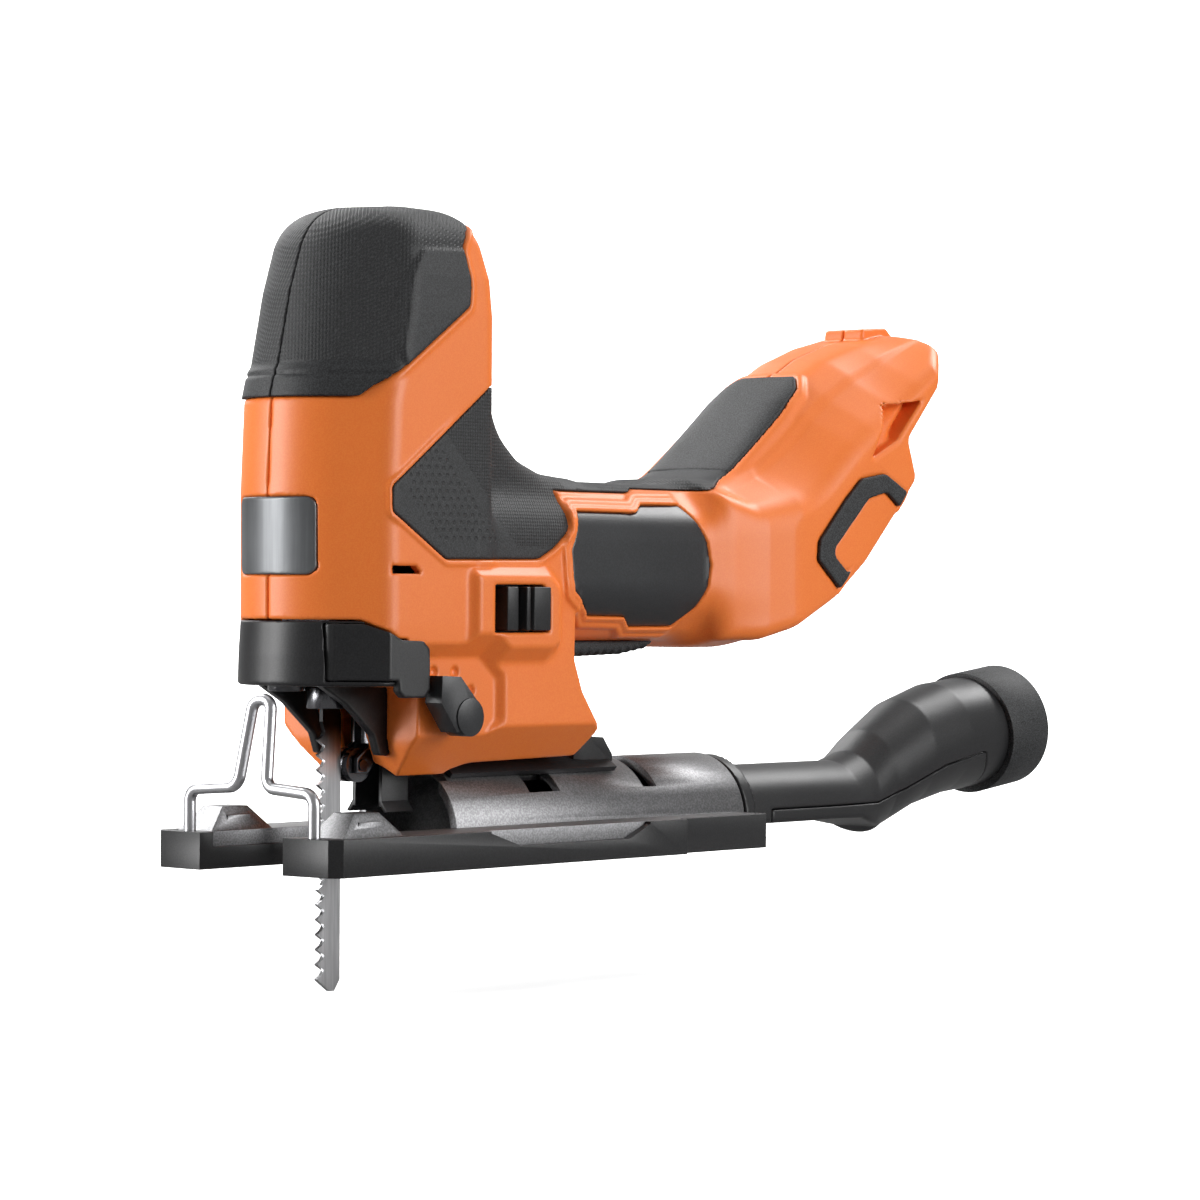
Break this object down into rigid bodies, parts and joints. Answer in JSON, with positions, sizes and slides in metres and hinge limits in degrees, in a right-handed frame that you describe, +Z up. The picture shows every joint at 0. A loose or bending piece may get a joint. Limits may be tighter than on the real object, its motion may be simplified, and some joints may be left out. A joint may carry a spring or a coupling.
{
  "type": "cordless jigsaw",
  "caption": "Barrel-grip cordless jigsaw with bevelling shoe, wire guard, orbital lever, side slide switch and dust extraction tube, without battery.",
  "frame": {"origin": "where the blade's centre line crosses the plane of the sole", "axes": "+X to the rear of the tool, -X the cutting direction, +Y the tool's right side, +Z up"},
  "size_m": [0.3507, 0.072, 0.2137],
  "materials": {
    "orange_plastic": "moulded, fine matt grain",
    "soft_grip": "soft overmoulding with a fine knurl",
    "black_plastic": "satin black moulding",
    "badge_panel": "brushed grey plate",
    "cast_metal": "die-cast, fine speckle",
    "steel": "machined",
    "chrome": "bright plated",
    "bronze": "sintered",
    "copper": "enamelled wire",
    "circuit_board": "solder mask",
    "lamp_lens": "black bezel round a recessed lamp"
  },
  "bodies": {
    "housing": {"left_shell": "orange_plastic", "right_shell": "orange_plastic", "nose_cover": "black_plastic", "grip_cap": "soft_grip", "neck_grip": "soft_grip", "rear_pad": "soft_grip", "rear_bumpers": "soft_grip", "label_panels": "black_plastic", "badge": "badge_panel", "finger_pad": "soft_grip", "housing_screws": "steel", "gear_frame": "cast_metal", "lower_bushing": "bronze", "upper_bushing": "bronze", "gear_axle": "steel", "counterweight_rods": "steel", "fork_pin": "steel", "front_bearing": "steel", "rear_bearing": "steel", "stator": "steel", "stator_windings": "copper", "motor_end_cap": "black_plastic", "switch_module": "black_plastic", "controller_board": "circuit_board", "terminal_block": "black_plastic", "shoe_saddle": "steel", "clamp_bolt": "steel", "clamp_washer": "steel", "dust_duct": "black_plastic", "lever_pin": "steel", "work_light": "lamp_lens"},
    "rotor": {"rotor_shaft": "steel", "rotor_magnets": "steel", "cooling_fan": "black_plastic", "pinion": "steel"},
    "crank": {"drive_gear": "steel", "crank_pin": "steel"},
    "plunger": {"plunger_rod": "steel", "scotch_yoke": "steel", "saw_blade": "steel"},
    "balancer": {"counterweight": "steel"},
    "clamp_ring": {"blade_collar": "chrome"},
    "fork": {"guide_fork": "steel", "roller_pin": "steel"},
    "roller": {"guide_roller": "steel"},
    "orbital_selector": {"orbital_lever": "black_plastic", "orbital_shaft": "steel"},
    "release": {"release_lever": "black_plastic"},
    "switch": {"switch_slider": "black_plastic"},
    "shoe": {"shoe_plate": "cast_metal", "sole_cover": "black_plastic", "wire_guard": "chrome"},
    "dust_nozzle": {"dust_tube": "black_plastic", "tube_cover": "black_plastic", "hose_collar": "black_plastic"}
  },
  "joints": [
    {"name": "crank_spin", "type": "hinge", "parent": "housing", "child": "crank", "pos_m": [0.0255, 0, 0.1137], "axis": [1, 0, 0], "continuous": true},
    {"name": "motor_spin", "type": "hinge", "parent": "housing", "child": "rotor", "pos_m": [0.06, 0, 0.084], "axis": [1, 0, 0], "continuous": true},
    {"name": "plunger_stroke", "type": "slide", "parent": "housing", "child": "plunger", "axis": [0, 0, 1], "range_m": [-0.01, 0.01]},
    {"name": "balancer_slide", "type": "slide", "parent": "housing", "child": "balancer", "axis": [0, 0, 1], "range_m": [-0.006, 0.006]},
    {"name": "clamp_turn", "type": "hinge", "parent": "plunger", "child": "clamp_ring", "pos_m": [0, 0, 0.046], "axis": [0, 0, 1], "range_deg": [0, 40]},
    {"name": "release_lever_turn", "type": "hinge", "parent": "housing", "child": "release", "pos_m": [-0.015, -0.0158, 0.058], "axis": [0, 0, -1], "range_deg": [0, 40], "stiffness_Nm_per_rad": 0.06, "springref_deg": -17.19},
    {"name": "fork_swing", "type": "hinge", "parent": "housing", "child": "fork", "pos_m": [0.014, 0, 0.0645], "axis": [0, -1, 0], "range_deg": [0, 4]},
    {"name": "roller_spin", "type": "hinge", "parent": "fork", "child": "roller", "pos_m": [0.00895, 0, 0.0275], "axis": [0, 1, 0], "continuous": true},
    {"name": "orbital_select", "type": "hinge", "parent": "housing", "child": "orbital_selector", "pos_m": [0.0205, -0.02, 0.041], "axis": [0, 1, 0], "range_deg": [0, 111]},
    {"name": "switch_travel", "type": "slide", "parent": "housing", "child": "switch", "axis": [-1, 0, 0], "range_m": [0, 0.0038]},
    {"name": "shoe_bevel", "type": "hinge", "parent": "housing", "child": "shoe", "pos_m": [0.071, 0, 0.008], "axis": [1, 0, 0], "range_deg": [-45, 45]},
    {"name": "dust_tube_slide", "type": "slide", "parent": "shoe", "child": "dust_nozzle", "axis": [1, 0, 0], "range_m": [0, 0.07]}
  ],
  "couplings": [
    {"joint": "motor_spin", "follows": "crank_spin", "ratio": -4.5},
    {"joint": "balancer_slide", "follows": "plunger_stroke", "ratio": -0.6},
    {"joint": "clamp_turn", "follows": "release_lever_turn", "ratio": 1}
  ]
}
